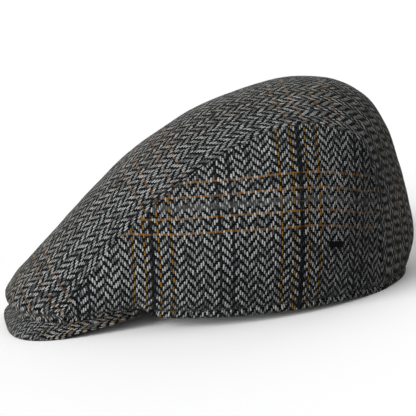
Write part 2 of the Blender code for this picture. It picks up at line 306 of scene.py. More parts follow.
class Nodes:
    """Adds nodes to a shader or geometry tree, one short call for each."""

    def __init__(self, tree: bpy.types.NodeTree) -> None:
        """Start with an empty tree.

        Args:
            tree: The tree that the nodes go into.
        """
        self.tree = tree
        tree.nodes.clear()

    def put(self, socket: bpy.types.NodeSocket, value: object) -> None:
        """Link a socket to another, or set its value.

        Args:
            socket: The input socket.
            value: An output socket, or what the input is set to.
        """
        if isinstance(value, bpy.types.NodeSocket):
            self.tree.links.new(value, socket)
        else:
            socket.default_value = value

    def add(self, kind: str, **values: object) -> bpy.types.Node:
        """Add a node and set its properties.

        Args:
            kind: The node's type.
            values: Its properties.

        Returns:
            The node.
        """
        node = self.tree.nodes.new(kind)
        for key, value in values.items():
            setattr(node, key, value)
        return node

    def math(self, operation: str, *inputs: object, clamp: bool = False) -> bpy.types.NodeSocket:
        """Add a Math node.

        Args:
            operation: What it does.
            inputs: Its values or links.
            clamp: Whether its result stays from 0 to 1.

        Returns:
            Its result.
        """
        node = self.add("ShaderNodeMath", operation=operation, use_clamp=clamp)
        for socket, value in zip(node.inputs, inputs):
            self.put(socket, value)
        return node.outputs[0]

    def step(self, value: object, low: float, high: float) -> bpy.types.NodeSocket:
        """Rise smoothly from 0 at low to 1 at high."""
        node = self.add("ShaderNodeMapRange", interpolation_type="SMOOTHSTEP")
        for socket, given in zip(node.inputs, (value, low, high, 0.0, 1.0)):
            self.put(socket, given)
        return node.outputs[0]

    def mix(self, share: object, first: object, second: object) -> bpy.types.NodeSocket:
        """Mix two colours.

        Args:
            share: How much of the second there is.
            first: A colour.
            second: A colour.

        Returns:
            The mixed colour.
        """
        node = self.add("ShaderNodeMix", data_type="RGBA")
        self.put(node.inputs[0], share)
        self.put(node.inputs[6], first)
        self.put(node.inputs[7], second)
        return node.outputs[2]

    def noise(
        self, vector: object, scale: float, detail: float = 2.0, output: int = 0
    ) -> bpy.types.NodeSocket:
        """A Noise Texture's factor, or its colour as output 1."""
        node = self.add("ShaderNodeTexNoise")
        self.put(node.inputs["Vector"], vector)
        node.inputs["Scale"].default_value = scale
        node.inputs["Detail"].default_value = detail
        return node.outputs[output]

    def split(self, vector: object) -> object:
        """The three numbers of a vector."""
        node = self.add("ShaderNodeSeparateXYZ")
        self.put(node.inputs[0], vector)
        return node.outputs

    def surface(
        self,
        colour: object,
        roughness: object,
        specular: float,
        height: object = None,
        distance: float = 0.0,
        strength: float = 1.0,
    ) -> bpy.types.Node:
        """Finish a material with its shader and relief.

        Args:
            colour: The base colour.
            roughness: The roughness.
            specular: The specular level.
            height: The relief's height, or None for a flat face.
            distance: How deep the relief is.
            strength: How strong the relief is.

        Returns:
            The shader.
        """
        shader = self.add("ShaderNodeBsdfPrincipled")
        self.put(shader.inputs["Base Color"], colour)
        self.put(shader.inputs["Roughness"], roughness)
        shader.inputs["Specular IOR Level"].default_value = specular
        if height is not None:
            bump = self.add("ShaderNodeBump")
            bump.inputs["Strength"].default_value = strength
            bump.inputs["Distance"].default_value = distance
            self.put(bump.inputs["Height"], height)
            self.put(shader.inputs["Normal"], bump.outputs[0])
        self.put(self.add("ShaderNodeOutputMaterial").inputs[0], shader.outputs[0])
        return shader

    def cell(self, x: object, y: object, shift: float = 0.0) -> bpy.types.NodeSocket:
        """A random value for each pair of whole numbers.

        Args:
            x: The first number.
            y: The second number.
            shift: Sets one use apart from another.

        Returns:
            A value from 0 to 1.
        """
        place = self.add("ShaderNodeCombineXYZ")
        self.put(place.inputs[0], x)
        self.put(place.inputs[1], y)
        place.inputs[2].default_value = shift
        node = self.add("ShaderNodeTexWhiteNoise", noise_dimensions="3D")
        self.put(node.inputs["Vector"], place.outputs[0])
        return node.outputs[0]


def new_material(name: str) -> tuple[bpy.types.Material, Nodes]:
    """Start a material.

    Args:
        name: Its name.

    Returns:
        The material and its empty tree.
    """
    material = bpy.data.materials.new(name)
    material.use_nodes = True
    return material, Nodes(material.node_tree)


Colour = tuple[float, float, float, float]


@dataclass(frozen=True)
class Tweed:
    """Herringbone wool tweed with an overcheck; lengths are in metres of cloth.

    Counts are in warp ends and weft picks. Each colour is linear.
    """

    name: str
    end_pitch: float = 0.00134
    pick_pitch: float = 0.00137
    ends_in_repeat: float = 69.0
    picks_in_repeat: float = 76.0
    warp_start: float = 0.0
    weft_start: float = 0.0
    turn_after: float = 4.0
    float_rise: float = 0.62
    yarn_round: float = 6.0
    weft_lead: float = 0.24
    colour_strength: float = 0.95
    stripe_strength: float = 0.92
    band_strength: float = 0.75
    unevenness: float = 1.15
    light_wool: Colour = (0.200, 0.207, 0.204, 1.0)
    pale_wool: Colour = (0.42, 0.43, 0.42, 1.0)
    dim_wool: Colour = (0.060, 0.064, 0.066, 1.0)
    band_wool: Colour = (0.080, 0.081, 0.076, 1.0)
    dark_wool: Colour = (0.0038, 0.0044, 0.0052, 1.0)
    dusty_wool: Colour = (0.011, 0.0125, 0.0145, 1.0)
    black_wool: Colour = (0.0036, 0.0042, 0.0052, 1.0)
    amber_wool: Colour = (0.225, 0.112, 0.008, 1.0)
    rust_wool: Colour = (0.200, 0.078, 0.013, 1.0)
    over_edge: tuple[float, float] = (-0.12, 0.20)
    # Painted shade: how far the colour is darkened in the grooves between the yarns, and over which yarn
    # heights
    painted_groove_edge: tuple[float, float] = (-0.10, 0.55)
    painted_groove_shade: float = 0.30
    # Painted shade: how far the colour is darkened in the hollows of the fine hair's relief, and over which
    # heights of that relief
    painted_hair_edge: tuple[float, float] = (0.30, 0.78)
    painted_hair_shade: float = 0.62
    pair_inset: float = 3.0
    pair_strength: float = 0.88
    amber_ends: tuple[float, float] = (3.5, 9.5)
    rust_picks: tuple[float, float] = (5.0, 12.0)
    hair_scale: float = 2600.0
    sway_scale: float = 170.0
    relief: float = 0.00035
    relief_strength: float = 0.85
    sheen: float = 0.08
    sheen_roughness: float = 0.35
    sheen_tint: Colour = (0.80, 0.81, 0.70, 1.0)

    def make(self) -> bpy.types.Material:
        """Build the cloth's material.

        Returns:
            The material.
        """
        material, nodes = new_material(self.name)
        place = nodes.add("ShaderNodeUVMap", uv_map=CLOTH_MAP).outputs[0]
        ends, picks = self.threads(nodes, place)
        end, pick = nodes.math("FLOOR", ends), nodes.math("FLOOR", picks)
        warp_height, weft_height = self.crowns(nodes, ends, picks, end, pick)
        over = nodes.step(nodes.math("SUBTRACT", warp_height, weft_height), *self.over_edge)
        colour = nodes.mix(over, self.weft_colour(nodes, end, pick), self.warp_colour(nodes, end, pick))
        height = nodes.math("MAXIMUM", warp_height, weft_height)
        # Painted shade: darken the colour where the yarns lie low, in the grooves between them
        painted_groove_colour = self.painted_shade(nodes, colour, self.painted_groove_shade)
        colour = nodes.mix(nodes.step(height, *self.painted_groove_edge), painted_groove_colour, colour)
        fuzz = nodes.noise(place, self.hair_scale, 4.0)
        # Painted shade: darken the colour where the fine hair's relief lies low
        painted_hair_colour = self.painted_shade(nodes, colour, self.painted_hair_shade)
        colour = nodes.mix(nodes.step(fuzz, *self.painted_hair_edge), painted_hair_colour, colour)
        self.shade(nodes, colour, height, fuzz)
        return material

    def threads(self, nodes: Nodes, place: object) -> tuple[object, object]:
        """Count ends and picks from the cloth coordinates, a little unevenly.

        Args:
            nodes: The node tree.
            place: The cloth coordinates.

        Returns:
            The counts across the warp and along it.
        """
        split = nodes.split(place)
        wander = nodes.split(nodes.noise(place, self.sway_scale, 3.0, 1))
        counts = []
        rows = ((0, self.end_pitch, self.warp_start), (1, self.pick_pitch, self.weft_start))
        for axis, pitch, start in rows:
            count = nodes.math("MULTIPLY_ADD", split[axis], 1 / pitch, -start)
            sway = nodes.math("SUBTRACT", wander[axis], 0.5)
            counts.append(nodes.math("MULTIPLY_ADD", sway, self.unevenness, count))
        return counts[0], counts[1]

    def crowns(
        self, nodes: Nodes, ends: object, picks: object, end: object, pick: object
    ) -> tuple[object, object]:
        """Heights of the warp and weft yarns over the middle of the cloth.

        Args:
            nodes: The node tree.
            ends: The count across the warp.
            picks: The count along the warp.
            end: The whole end.
            pick: The whole pick.

        Returns:
            The heights of the warp and of the weft.
        """
        shift = self.herringbone(nodes, end)
        rise = nodes.math("ADD", picks, shift)
        wave = nodes.math("SINE", nodes.math("MULTIPLY", rise, math.pi / 2))
        middle = nodes.math("ADD", nodes.math("ADD", pick, 0.5), shift)
        dip = nodes.math("SINE", nodes.math("MULTIPLY", middle, math.pi / 2))
        round_end = self.roundness(nodes, nodes.math("SUBTRACT", nodes.math("FRACT", ends), 0.5))
        round_pick = self.roundness(nodes, nodes.math("SUBTRACT", nodes.math("FRACT", picks), 0.5))
        warp = nodes.math("MULTIPLY_ADD", wave, self.float_rise, round_end)
        weft = nodes.math("MULTIPLY_ADD", dip, -self.float_rise, round_pick)
        return warp, nodes.math("ADD", weft, self.weft_lead)

    def herringbone(self, nodes: Nodes, end: object) -> object:
        """How many picks each end's floats are shifted; the twill turns with a clean break.

        Args:
            nodes: The node tree.
            end: The whole end.

        Returns:
            The shift.
        """
        turn = self.turn_after
        place = nodes.math("FLOORED_MODULO", nodes.math("ADD", end, 0.25), 2 * turn)
        place = nodes.math("FLOOR", place)
        rising = nodes.math("LESS_THAN", place, turn - 0.5)
        gain = nodes.math("MULTIPLY_ADD", place, 2.0, -(turn + 1))
        falling = nodes.math("SUBTRACT", turn + 1, place)
        return nodes.math("MULTIPLY_ADD", rising, gain, falling)

    def roundness(self, nodes: Nodes, offset: object) -> object:
        """Height of a round yarn at an offset from its middle, 0 at its edge."""
        square = nodes.math("MULTIPLY", offset, offset)
        return nodes.math("MULTIPLY_ADD", square, -self.yarn_round, 0.60)

    def from_stripe(self, nodes: Nodes, thread: object, repeat: float) -> object:
        """How many threads away the nearest overcheck stripe is."""
        return nodes.math("PINGPONG", thread, repeat / 2)

    def near(self, nodes: Nodes, distance: object, middle: float, reach: float) -> object:
        """1 where a distance lies within reach of a middle, else 0."""
        away = nodes.math("ABSOLUTE", nodes.math("SUBTRACT", distance, middle))
        return nodes.math("LESS_THAN", away, reach)

    def painted_shade(self, nodes: Nodes, colour: object, share: float) -> object:
        """A colour that is darkened to a share of itself, as painted shade."""
        node = nodes.add("ShaderNodeHueSaturation")
        nodes.put(node.inputs["Color"], colour)
        node.inputs["Value"].default_value = share
        return node.outputs[0]

    def check(
        self, nodes: Nodes, colour: object, away: object, places: tuple[float, ...], wool: Colour
    ) -> object:
        """Lay the overcheck's coloured threads over a colour.

        Args:
            nodes: The node tree.
            colour: The colour so far.
            away: How many threads away the stripe is.
            places: How far from the stripe the coloured threads lie.
            wool: Their colour.

        Returns:
            The colour.
        """
        for middle in places:
            share = nodes.math("MULTIPLY", self.near(nodes, away, middle, 0.5), self.colour_strength)
            colour = nodes.mix(share, colour, wool)
        return colour

    def warp_colour(self, nodes: Nodes, end: object, pick: object) -> object:
        """Colour of the warp: light wool with black stripes and amber ends.

        Args:
            nodes: The node tree.
            end: The whole end.
            pick: The whole pick.

        Returns:
            The colour.
        """
        float_pick = nodes.math("FLOOR", nodes.math("MULTIPLY", pick, 0.5))
        heather = nodes.cell(end, float_pick, 1.0)
        colour = nodes.mix(nodes.step(heather, 0.35, 1.0), self.light_wool, self.pale_wool)
        dim = nodes.math("SUBTRACT", 1.0, nodes.step(heather, 0.0, 0.40))
        colour = nodes.mix(dim, colour, self.dim_wool)
        away = self.from_stripe(nodes, nodes.math("ADD", end, 0.5), self.ends_in_repeat)
        pair = self.near(nodes, away, self.ends_in_repeat / 2 - self.pair_inset, 0.6)
        colour = nodes.mix(nodes.math("MULTIPLY", pair, self.pair_strength), colour, self.dark_wool)
        stripe = nodes.math("MULTIPLY", self.near(nodes, away, 0.5, 0.3), self.stripe_strength)
        colour = nodes.mix(stripe, colour, self.black_wool)
        return self.check(nodes, colour, away, self.amber_ends, self.amber_wool)

    def weft_colour(self, nodes: Nodes, end: object, pick: object) -> object:
        """Colour of the weft: dark wool with a pale band and rust picks.

        Args:
            nodes: The node tree.
            end: The whole end.
            pick: The whole pick.

        Returns:
            The colour.
        """
        heather = nodes.cell(end, pick, 7.0)
        colour = nodes.mix(nodes.step(heather, 0.55, 1.0), self.dark_wool, self.dusty_wool)
        away = self.from_stripe(nodes, pick, self.picks_in_repeat)
        band = nodes.math("MULTIPLY", self.near(nodes, away, 0.0, 1.3), self.band_strength)
        band = nodes.math("MULTIPLY", band, nodes.step(heather, -0.4, 0.6))
        colour = nodes.mix(band, colour, self.band_wool)
        return self.check(nodes, colour, away, self.rust_picks, self.rust_wool)

    def shade(self, nodes: Nodes, colour: object, height: object, fuzz: object) -> None:
        """Finish with the cloth's shader and its relief.

        Args:
            nodes: The node tree.
            colour: The base colour.
            height: The yarns' height.
            fuzz: The fine hair's noise.
        """
        roughness = nodes.math("MULTIPLY_ADD", fuzz, 0.12, 0.84)
        relief = nodes.math("MULTIPLY_ADD", fuzz, 0.35, height)
        shader = nodes.surface(colour, roughness, 0.03, relief, self.relief, self.relief_strength)
        shader.inputs["Sheen Weight"].default_value = self.sheen
        shader.inputs["Sheen Roughness"].default_value = self.sheen_roughness
        shader.inputs["Sheen Tint"].default_value = self.sheen_tint


@dataclass(frozen=True)
class Enamel:
    """Satin black enamel of the side tag."""

    name: str = "tag_black_enamel"
    base: Colour = (0.0016, 0.0016, 0.0018, 1.0)
    worn: Colour = (0.0034, 0.0034, 0.0038, 1.0)
    relief: float = 0.00003

    def make(self) -> bpy.types.Material:
        """Build the enamel's material.

        Returns:
            The material.
        """
        material, nodes = new_material(self.name)
        place = nodes.add("ShaderNodeTexCoord").outputs["Object"]
        cloud = nodes.noise(place, 900.0, 4.0)
        colour = nodes.mix(nodes.step(cloud, 0.45, 0.8), self.base, self.worn)
        roughness = nodes.math("MULTIPLY_ADD", cloud, 0.25, 0.50)
        nodes.surface(colour, roughness, 0.05, nodes.noise(place, 3000.0, 3.0), self.relief)
        return material


@dataclass(frozen=True)
class Thread:
    """Twisted dark thread of the hem stitches."""

    name: str = "hem_thread"
    base: Colour = (0.004, 0.0044, 0.005, 1.0)
    lit: Colour = (0.016, 0.0165, 0.018, 1.0)
    relief: float = 0.0001

    def make(self) -> bpy.types.Material:
        """Build the thread's material.

        Returns:
            The material.
        """
        material, nodes = new_material(self.name)
        place = nodes.add("ShaderNodeTexCoord").outputs["Object"]
        wave = nodes.add("ShaderNodeTexWave", bands_direction="DIAGONAL")
        nodes.put(wave.inputs["Vector"], place)
        wave.inputs["Scale"].default_value = 900.0
        twist = wave.outputs[1]
        colour = nodes.mix(twist, self.base, self.lit)
        nodes.surface(colour, nodes.math("MULTIPLY_ADD", twist, 0.1, 0.62), 0.5, twist, self.relief)
        return material


@dataclass(frozen=True)
class CapShape:
    """The smooth surfaces of the cap, from its named sizes in metres."""

    head_length: float = 0.210
    head_width: float = 0.170
    crown_height: float = 0.1293
    top_half_width: float = 0.0575
    back_bulge: float = 0.0096
    rear_seam_angle: float = math.radians(38.6)
    seam_crease: float = math.radians(18.0)
    side_flare: float = math.radians(17.0)
    side_fullness: float = 0.40
    edge_blend: float = 0.07
    hem_wall: float = 0.003
    gap: float = 0.0003
    peak_reach: float = 0.0445
    peak_half_width: float = 0.0625
    peak_thickness: float = 0.004
    peak_angle: float = math.radians(47.5)
    peak_roundness: float = 3.6
    peak_inner_height: float = 0.0145
    peak_lip_height: float = 0.0034
    peak_turn_down: float = 6.0
    peak_side_rise: float = 0.0092
    peak_side_start: float = 0.0225
    peak_side_curve: float = 1.4
    rim_slope: float = math.tan(math.radians(3.2))
    rim_flat_share: float = 0.88
    rim_ease: float = 0.012
    rim_press: float = 0.0018
    rim_press_run: float = 0.010
    hem_step_run: float = 0.011
    peak_board: float = 0.0053

    # centre_x, centre_z, seam_x, seam_y, seam_z and curl, as shares of the sizes above
    stations: tuple[tuple[float, ...], ...] = (
        (0.021, 0.081, 0.125, 0.939, 0.085, 3.40),
        (0.009, 0.135, 0.128, 0.948, 0.100, 3.00),
        (0.034, 0.217, 0.136, 0.957, 0.131, 2.60),
        (0.081, 0.300, 0.153, 0.965, 0.174, 2.30),
        (0.153, 0.427, 0.197, 0.974, 0.286, 2.10),
        (0.229, 0.561, 0.259, 0.983, 0.414, 2.05),
        (0.305, 0.684, 0.324, 0.991, 0.514, 2.05),
        (0.399, 0.803, 0.409, 1.000, 0.634, 2.05),
        (0.494, 0.903, 0.494, 1.000, 0.731, 2.05),
        (0.577, 0.956, 0.574, 1.000, 0.800, 2.10),
        (0.683, 0.992, 0.676, 1.000, 0.855, 2.10),
        (0.774, 1.000, 0.755, 0.995, 0.851, 2.10),
        (0.859, 0.961, 0.822, 0.988, 0.804, 2.10),
        (0.924, 0.866, 0.863, 0.977, 0.723, 2.15),
        (0.962, 0.719, 0.880, 0.970, 0.596, 2.20),
        (0.981, 0.541, 0.885, 0.965, 0.456, 2.25),
        (0.995, 0.356, 0.885, 0.957, 0.317, 2.30),
        (1.000, 0.178, 0.881, 0.943, 0.162, 2.30),
    )
    # seam_share, edge_share, flare
    ribs: tuple[tuple[float, float, float], ...] = (
        (0.00, 0.000, 1.0),
        (0.05, 0.040, 1.9),
        (0.12, 0.100, 2.6),
        (0.20, 0.185, 2.8),
        (0.30, 0.300, 2.1),
        (0.40, 0.420, 1.4),
        (0.55, 0.620, 1.0),
        (0.65, 0.740, 1.0),
        (0.73, 0.830, 1.0),
        (0.80, 0.890, 1.0),
        (0.87, 0.940, 1.0),
        (0.94, 0.975, 1.0),
        (1.00, 1.000, 1.0),
    )

    @cached_property
    def length(self) -> float:
        """Length from the lip to the bulge of the back."""
        return self.peak_reach + self.head_length + self.back_bulge

    @cached_property
    def lip_x(self) -> float:
        """X of the lip."""
        return -self.length / 2

    @cached_property
    def rim_x(self) -> float:
        """X of the middle of the rim."""
        return self.lip_x + self.peak_reach + self.head_length / 2

    @cached_property
    def rim_a(self) -> float:
        """Half the rim's length."""
        return self.head_length / 2

    @cached_property
    def rim_b(self) -> float:
        """Half the rim's width."""
        return self.head_width / 2

    @cached_property
    def peak_end_x(self) -> float:
        """X of the peak's two tips."""
        return self.rim_x - self.rim_a * math.cos(self.peak_angle)

    @cached_property
    def centre(self) -> np.ndarray:
        """A point in the middle of the hollow."""
        return np.array([self.rim_x, 0.0, self.crown_height / 3])

    def rim_height(self, x: np.ndarray) -> np.ndarray:
        """Height of the hem's lower edge at x; it dips below the floor at the back."""
        flat_x = self.rim_x + self.rim_a * (2 * self.rim_flat_share - 1)
        run = np.maximum(flat_x - np.asarray(x, float), 0.0)
        press = self.rim_press * np.exp(-((run / self.rim_press_run) ** 2))
        return self.rim_slope * run**2 / (run + self.rim_ease) - press

    def peak_outline_y(self, x: np.ndarray) -> np.ndarray:
        """Half width of the peak's outline at x."""
        share = (self.peak_end_x - np.asarray(x, float)) / (self.peak_end_x - self.lip_x)
        share = np.clip(share, 0.0, 1.0)
        return self.peak_half_width * (1 - share**self.peak_roundness) ** (1 / self.peak_roundness)

    def peak_top(self, x: np.ndarray, y: np.ndarray) -> np.ndarray:
        """Height of the peak's upper face at a place in plan."""
        soft = self.peak_thickness / 2
        along = np.clip(self.peak_end_x - x, 0.0, None) / (self.peak_end_x - self.lip_x - soft)
        aside = np.abs(y) / (self.peak_half_width - soft)
        reach = (along**self.peak_roundness + aside**self.peak_roundness) ** (1 / self.peak_roundness)
        start = self.lip_x + self.peak_side_start
        side = np.clip((x - start) / (self.peak_end_x - start), 0.0, 1.0)
        lip = self.peak_lip_height + self.peak_side_rise * side**self.peak_side_curve
        drop = (self.peak_inner_height - lip) * np.minimum(reach, 1.0) ** self.peak_turn_down
        return self.peak_inner_height - drop

    def seat_height(self, x: np.ndarray, y: np.ndarray) -> np.ndarray:
        """Height at which a cloth wall stands on the peak."""
        inward = unit(np.stack([self.rim_x - x, -y], -1)) * self.hem_wall
        return self.peak_top(x + inward[..., 0], y + inward[..., 1]) + 1.5 * self.gap

    @cached_property
    def rows(self) -> np.ndarray:
        """The stations in metres, with the last one on the rim."""
        rows = np.array(self.stations)
        wide, high = self.top_half_width, self.crown_height
        scale = np.array([self.length, high, self.length, wide, high, 1.0])
        shift = np.array([self.lip_x, 0.0, self.lip_x, 0.0, 0.0, 0.0])
        foot_x = self.rim_x + self.rim_a * math.cos(self.rear_seam_angle)
        foot_y = self.rim_b * math.sin(self.rear_seam_angle)
        back_x = self.rim_x + self.rim_a
        foot_z, back_z = float(self.rim_height(foot_x)), float(self.rim_height(back_x))
        last = (back_x, back_z, foot_x, foot_y, foot_z, rows[-1, 5])
        return np.vstack([rows * scale + shift, last])

    @cached_property
    def knots(self) -> np.ndarray:
        """The stations' places, by their run along the centre line and the seam together."""
        rows = self.rows
        centre = np.linalg.norm(np.diff(rows[:, 0:2], axis=0), axis=1)
        seam = np.linalg.norm(np.diff(rows[:, 2:5], axis=0), axis=1)
        knots = np.concatenate([[0.0], np.cumsum(centre + seam)])
        return knots / knots[-1]

    def top_point(self, s: np.ndarray, v: np.ndarray) -> np.ndarray:
        """Points of the top panel.

        Args:
            s: Places from the peak (0) to the back of the rim (1).
            v: Places from the left seam (-1) to the right (1).

        Returns:
            A grid of points.
        """
        s, v = np.atleast_1d(s), np.atleast_1d(v)
        row = smooth(self.knots, self.rows, s)
        across = np.abs(v)[None, :] ** row[:, 5:6]
        x = row[:, 0:1] + (row[:, 2:3] - row[:, 0:1]) * across
        y = row[:, 3:4] * v[None, :]
        z = row[:, 1:2] + (row[:, 4:5] - row[:, 1:2]) * across
        first = self.rows[0]
        start_across = np.abs(v) ** first[5]
        start_x = first[0] + (first[2] - first[0]) * start_across
        start_z = first[1] + (first[4] - first[1]) * start_across
        start = self.seat_height(start_x, first[3] * v) - start_z
        fade = np.clip(1 - s / self.knots[1], 0.0, 1.0)[:, None] ** 2
        return np.stack([x, y, z + start[None, :] * fade], axis=2)

    def seam_point(self, s: np.ndarray) -> np.ndarray:
        """The left seam line."""
        return self.top_point(s, np.array([-1.0]))[:, 0]

    @cached_property
    def edge(self) -> np.ndarray:
        """Lower edge of the left side panel: along the crease on the peak, then the rim."""
        corner = self.seam_point(np.array([0.0]))[0]
        x = np.linspace(corner[0], self.peak_end_x, 16)
        share = (x - corner[0]) / (self.peak_end_x - corner[0])
        inset_front = self.peak_outline_y(corner[0]) + corner[1]
        inset_back = self.peak_half_width - self.rim_b * math.sin(self.peak_angle)
        y = -(self.peak_outline_y(x) - inset_front * (1 - share) - inset_back * share)
        crease = np.stack([x, y, self.seat_height(x, y)], axis=1)
        angle = np.linspace(math.pi - self.peak_angle, self.rear_seam_angle, 64)[1:]
        x = self.rim_x + self.rim_a * np.cos(angle)
        y = -self.rim_b * np.sin(angle)
        step = ease(x, self.peak_end_x + 4 * self.gap, self.peak_end_x + 4 * self.gap + self.hem_step_run)
        z = self.rim_height(x) * step + self.seat_height(x, y) * (1 - step)
        return np.vstack([crease, np.stack([x, y, z], axis=1)])

    @cached_property
    def edge_run(self) -> np.ndarray:
        """Run along the lower edge."""
        return running_length(self.edge, 0)

    @cached_property
    def seam_places(self) -> np.ndarray:
        """Places along the seam at which its run is kept."""
        return np.linspace(0.0, 1.0, 400)

    @cached_property
    def seam_run(self) -> np.ndarray:
        """Run along the seam."""
        return running_length(self.seam_point(self.seam_places), 0)

    def edge_point(self, share: np.ndarray) -> np.ndarray:
        """A place on the lower edge, from the front corner (0) to the rear seam (1)."""
        run = np.clip(share, 0.0, 1.0) * self.edge_run[-1]
        return np.stack([np.interp(run, self.edge_run, self.edge[:, k]) for k in range(3)], axis=-1)

    def even_places(self, count: int) -> np.ndarray:
        """Even places along the seam, as a top panel's s.

        Args:
            count: How many steps.

        Returns:
            count + 1 places.
        """
        even = np.linspace(0.0, self.seam_run[-1], count + 1)
        return np.interp(even, self.seam_run, self.seam_places)

    def side_point(self, s: np.ndarray, w: np.ndarray) -> np.ndarray:
        """Points of the left side panel.

        Args:
            s: Places along the seam.
            w: Places from the lower edge (0) up to the seam (1).

        Returns:
            A grid of points.
        """
        s, w = np.atleast_1d(s), np.atleast_1d(w)[None, :, None]
        share = np.interp(s, self.seam_places, self.seam_run) / self.seam_run[-1]
        table = np.array(self.ribs)
        rib = smooth(table[:, 0], table[:, 1:3], share)
        foot_share, flare = np.clip(rib[:, 0], 0.0, 1.0), (self.side_flare * rib[:, 1])[:, None]
        foot, head = self.edge_point(foot_share), self.seam_point(s)
        before = self.edge_point(foot_share - self.edge_blend)
        edge_dir = unit(self.edge_point(foot_share + self.edge_blend) - before)
        ahead, behind = np.clip(s + 1e-3, 0, 1), np.clip(s - 1e-3, 0, 1)
        seam_dir = unit(self.seam_point(ahead) - self.seam_point(behind))
        out = head - self.top_point(s, np.array([-0.97]))[:, 0]
        out = unit(out - seam_dir * np.sum(out * seam_dir, axis=1, keepdims=True))
        up = np.cross(out, seam_dir)
        up = np.where(up[:, 2:3] < 0, -up, up)
        crease = self.seam_crease * np.clip(1.25 - share, 0.2, 1.0)[:, None]
        fall = out * np.cos(crease) - up * np.sin(crease)
        sideways = unit(np.cross(edge_dir, UP))
        sideways = np.where(sideways[:, 1:2] > 0, -sideways, sideways)
        rise = UP * np.cos(flare) + sideways * np.sin(flare)
        chord = head - foot
        reach = np.linalg.norm(chord, axis=1, keepdims=True) * self.side_fullness
        first = foot + self.in_plane(chord, edge_dir, rise) * reach
        second = head - self.in_plane(chord, seam_dir, fall) * reach
        foot, first, second, head = (p[:, None] for p in (foot, first, second, head))
        near = (1 - w) ** 3 * foot + 3 * (1 - w) ** 2 * w * first
        return near + 3 * (1 - w) * w**2 * second + w**3 * head

    def in_plane(self, chord: np.ndarray, along: np.ndarray, out: np.ndarray) -> np.ndarray:
        """Turn a rib's chord into the tangent plane of the surface at one end.

        Args:
            chord: The rib's chord.
            along: The line that the rib meets.
            out: The direction in which the cloth leaves it.

        Returns:
            The rib's direction there.
        """
        normal = unit(np.cross(along, out))
        return unit(chord - normal * np.sum(chord * normal, axis=-1, keepdims=True))

    def peak_plan(self, phi: np.ndarray, rho: np.ndarray) -> tuple[np.ndarray, np.ndarray]:
        """Plan of the peak.

        Args:
            phi: From one tip (-1) to the other (1).
            rho: From the head (0) to the lip (1).

        Returns:
            The places' X and Y.
        """
        inner_x = self.rim_x - self.rim_a * np.cos(phi * self.peak_angle)
        inner_y = self.rim_b * np.sin(phi * self.peak_angle)
        turn = np.abs(phi) * math.pi / 2
        soft = self.peak_thickness / 2
        reach = self.peak_end_x - self.lip_x - soft
        outer_x = self.peak_end_x - reach * np.cos(turn) ** (2 / self.peak_roundness)
        wide = self.peak_half_width - soft
        outer_y = np.sign(phi) * wide * np.sin(turn) ** (2 / self.peak_roundness)
        return inner_x + (outer_x - inner_x) * rho, inner_y + (outer_y - inner_y) * rho


@dataclass(frozen=True)
class ClothWall:
    """The wall of a cloth panel: its thickness, rounded edges, seam ridge and hem."""

    thickness: float = 0.0020
    hem_thickness: float = 0.0028
    hem_depth: float = 0.0090
    roll: float = 0.0022
    seam_roll: float = 0.0006
    seam_sink: float = 0.10
    ridge: float = 0.00060
    ridge_place: float = 0.0022
    ridge_width: float = 0.0026
    pucker: float = 0.00016
    pucker_length: float = 0.0075
    pucker_reach: float = 0.0080
    stitch_place: float = 0.0058
    stitch_sink: float = 0.0012
    stitch_width: float = 0.0010
    hem_fullness: float = 0.00075
    tuck: float = 0.0048
    tuck_height: float = 0.0036
    unevenness: float = 0.00045
    uneven_length: float = 0.052
    fine_unevenness: float = 0.00013
    fine_length: float = 0.014
    hem_step: float = 0.0012
    calm_reach: float = 0.006

    def roundness(self, distance: np.ndarray, roll: float) -> np.ndarray:
        """How far an edge of that roll has sunk at a distance from it, from 1 to 0."""
        share = np.clip(distance / roll, 0.0, 1.0)
        return 1.0 - np.sqrt(1.0 - (1.0 - share) ** 2)

    def faces(
        self,
        points: np.ndarray,
        normals: np.ndarray,
        seam: np.ndarray,
        fold: np.ndarray,
        hem: np.ndarray,
        crease: np.ndarray,
        along: np.ndarray,
        seed: int,
    ) -> tuple[np.ndarray, np.ndarray]:
        """The outer and inner face over a smooth surface.

        Args:
            points: The surface's grid.
            normals: Its outward normals.
            seam: Each point's distance from a sewn seam.
            fold: Its distance from an edge that is turned under.
            hem: Its distance from the hem's lower edge.
            crease: Its distance from the crease above the peak.
            along: Its run along the seam.
            seed: The fixed seed of the unevenness.

        Returns:
            The outer grid and the inner grid.
        """
        hem_share = 1 - ease(hem, self.hem_depth - self.hem_step, self.hem_depth + self.hem_step)
        wall = self.thickness + (self.hem_thickness - self.thickness) * hem_share
        sunk = self.roundness(seam, self.seam_roll)
        free = np.maximum(self.roundness(fold, self.roll), self.roundness(hem, self.roll))
        out = -wall * np.maximum(self.seam_sink * sunk, 0.5 * free)
        rise = wall * np.maximum((1 - self.seam_sink) * sunk, 0.5 * free)
        calm = ease(np.minimum(np.minimum(seam, fold), hem), 0.0, self.calm_reach)
        out = out + self.ridge * bell(seam, self.ridge_place, self.ridge_width)
        wave = np.sin(2 * math.pi * along / self.pucker_length + 2.5 * ripple(points, 0.03, seed + 5))
        out = out + self.pucker * wave * np.exp(-seam / self.pucker_reach) * ease(seam, 0.0, 0.002)
        out = out + self.hem_fullness * bell(hem, self.stitch_place * 0.45, self.stitch_place * 0.4)
        out = out - self.stitch_sink * bell(hem, self.stitch_place, self.stitch_width)
        out = out - self.tuck * bell(crease, 0.0, self.tuck_height)
        out = out + self.unevenness * calm * ripple(points, self.uneven_length, seed)
        out = out + self.fine_unevenness * calm * ripple(points, self.fine_length, seed + 1)
        outer = points + normals * out[..., None]
        inner = points + normals * (rise - wall)[..., None]
        for grid in (outer, inner):
            grid[..., 2] = np.maximum(grid[..., 2], 0.0)
        return outer, inner


